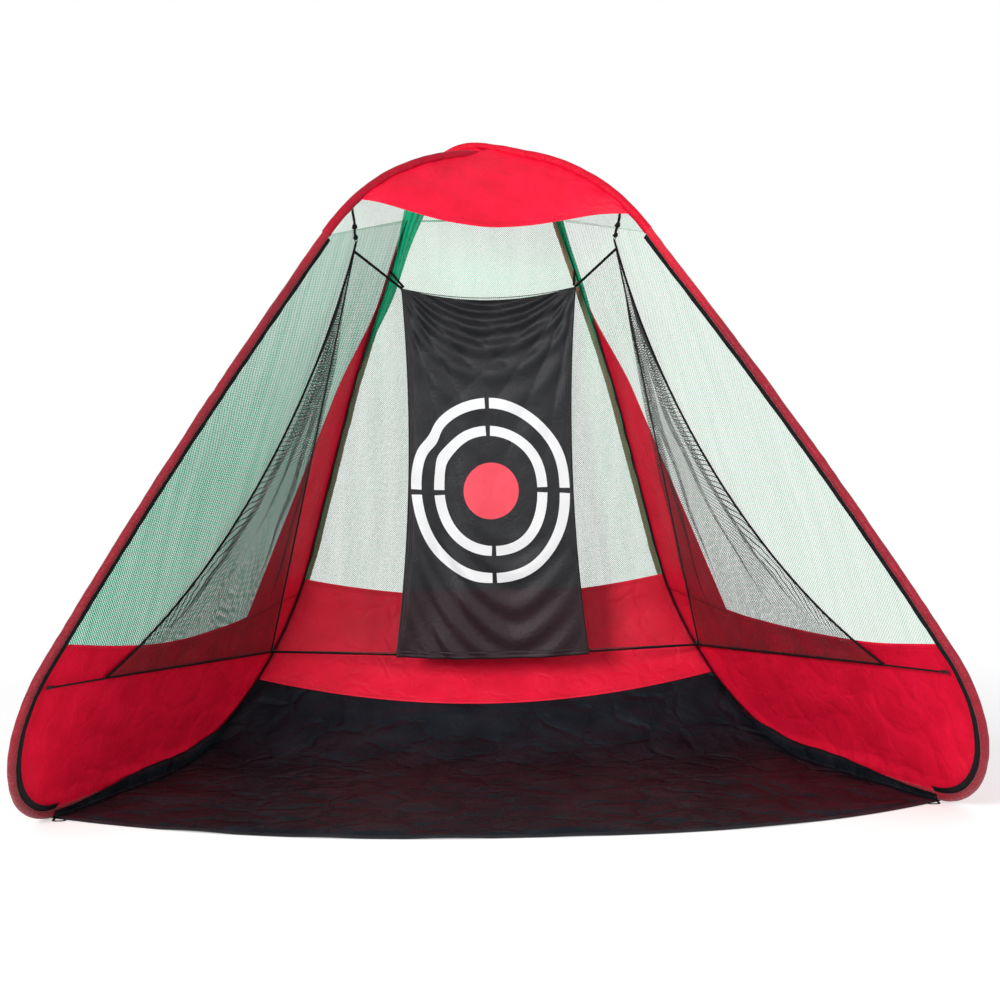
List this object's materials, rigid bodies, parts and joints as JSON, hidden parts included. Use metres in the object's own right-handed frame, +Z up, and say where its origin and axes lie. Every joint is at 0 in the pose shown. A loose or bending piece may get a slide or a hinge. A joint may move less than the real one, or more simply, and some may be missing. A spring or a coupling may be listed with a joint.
{
  "type": "golf chipping net",
  "caption": "Pop-up chipping net: crossed spring hoop, green nets, red skirts, black floor, inner catch net and a hanging ring target; the sides fold flat.",
  "frame": {"origin": "on the ground under the floor sheet, on the middle line, halfway from front to back", "axes": "+X right as seen from the front, +Y to the back, +Z up; the open mouth faces -Y"},
  "size_m": [3.002, 1.6034, 2.1581],
  "materials": {
    "spring_rod": "spring steel rod, hidden in its sleeve",
    "ferrule": "plain crimped tube",
    "sleeve": "bright red satin-faced polyester",
    "skirt": "bright red satin-faced polyester",
    "tape": "black woven tape",
    "webbing": "black woven webbing",
    "green_net": "fine green mesh",
    "black_net": "fine black mesh",
    "black_cord": "black bound edge",
    "elastic": "black elastic cord",
    "hook": "black moulded plastic",
    "floor": "black coated polyester, slightly shiny",
    "target_cloth": "black polyester",
    "ring_print": "white print",
    "disc_print": "red print"
  },
  "bodies": {
    "left_leaf": {"left_hoop_rod": "spring_rod", "left_rod_ferrule": "ferrule", "left_front_sleeve": "sleeve", "left_ground_sleeve": "sleeve", "left_rear_sleeve": "sleeve", "left_binding_tape": "tape", "left_side_skirt": "skirt", "left_rear_strip": "skirt", "left_side_net": "green_net", "left_wing_net": "black_net", "left_wing_front_cord": "black_cord", "left_wing_hem_cord": "black_cord", "left_hem_elastic": "elastic", "left_hem_hook": "hook", "left_hanger_strap": "tape", "left_hanger_ring": "hook", "crown_rod_low": "spring_rod", "crown_rod_high": "spring_rod", "crown_sleeve_low": "sleeve", "crown_sleeve_high": "sleeve", "floor_sheet": "floor", "rear_skirt": "skirt", "rear_net": "green_net", "crown_net_rear": "green_net", "crown_net_left": "green_net", "crown_net_right": "green_net", "valance": "skirt", "back_net_left": "black_net", "back_net_right": "black_net", "back_net_middle": "black_net", "top_binding_left": "black_cord", "top_binding_right": "black_cord", "back_hem_cord": "black_cord", "target_tie_left": "tape", "target_tie_right": "tape", "corner_loop_left": "webbing", "corner_loop_right": "webbing"},
    "right_leaf": {"right_hoop_rod": "spring_rod", "right_rod_ferrule": "ferrule", "right_front_sleeve": "sleeve", "right_ground_sleeve": "sleeve", "right_rear_sleeve": "sleeve", "right_binding_tape": "tape", "right_side_skirt": "skirt", "right_rear_strip": "skirt", "right_side_net": "green_net", "right_wing_net": "black_net", "right_wing_front_cord": "black_cord", "right_wing_hem_cord": "black_cord", "right_hem_elastic": "elastic", "right_hem_hook": "hook", "right_hanger_strap": "tape", "right_hanger_ring": "hook"},
    "target": {"target_sheet": "target_cloth", "target_hem": "target_cloth", "target_rings": "ring_print", "target_disc": "disc_print"}
  },
  "joints": [
    {"name": "frame_fold", "type": "hinge", "parent": "left_leaf", "child": "right_leaf", "pos_m": [0, 0.77729, 2.33], "axis": [0, 0.6403, -0.7682], "range_deg": [0, 56.9], "stiffness_Nm_per_rad": 16, "springref_deg": -74.48, "deforming": ["crown_rod_low", "crown_rod_high", "crown_sleeve_low", "crown_sleeve_high", "floor_sheet", "rear_skirt", "rear_net", "crown_net_rear", "crown_net_left", "crown_net_right", "valance", "back_net_left", "back_net_right", "back_net_middle", "top_binding_left", "top_binding_right", "back_hem_cord", "target_tie_left", "target_tie_right", "corner_loop_left", "corner_loop_right", "target_sheet", "target_hem", "target_rings", "target_disc"]},
    {"name": "target_swing", "type": "hinge", "parent": "left_leaf", "child": "target", "pos_m": [0, 0.52, 1.663], "axis": [1, 0, 0], "range_deg": [-15, 0]}
  ]
}
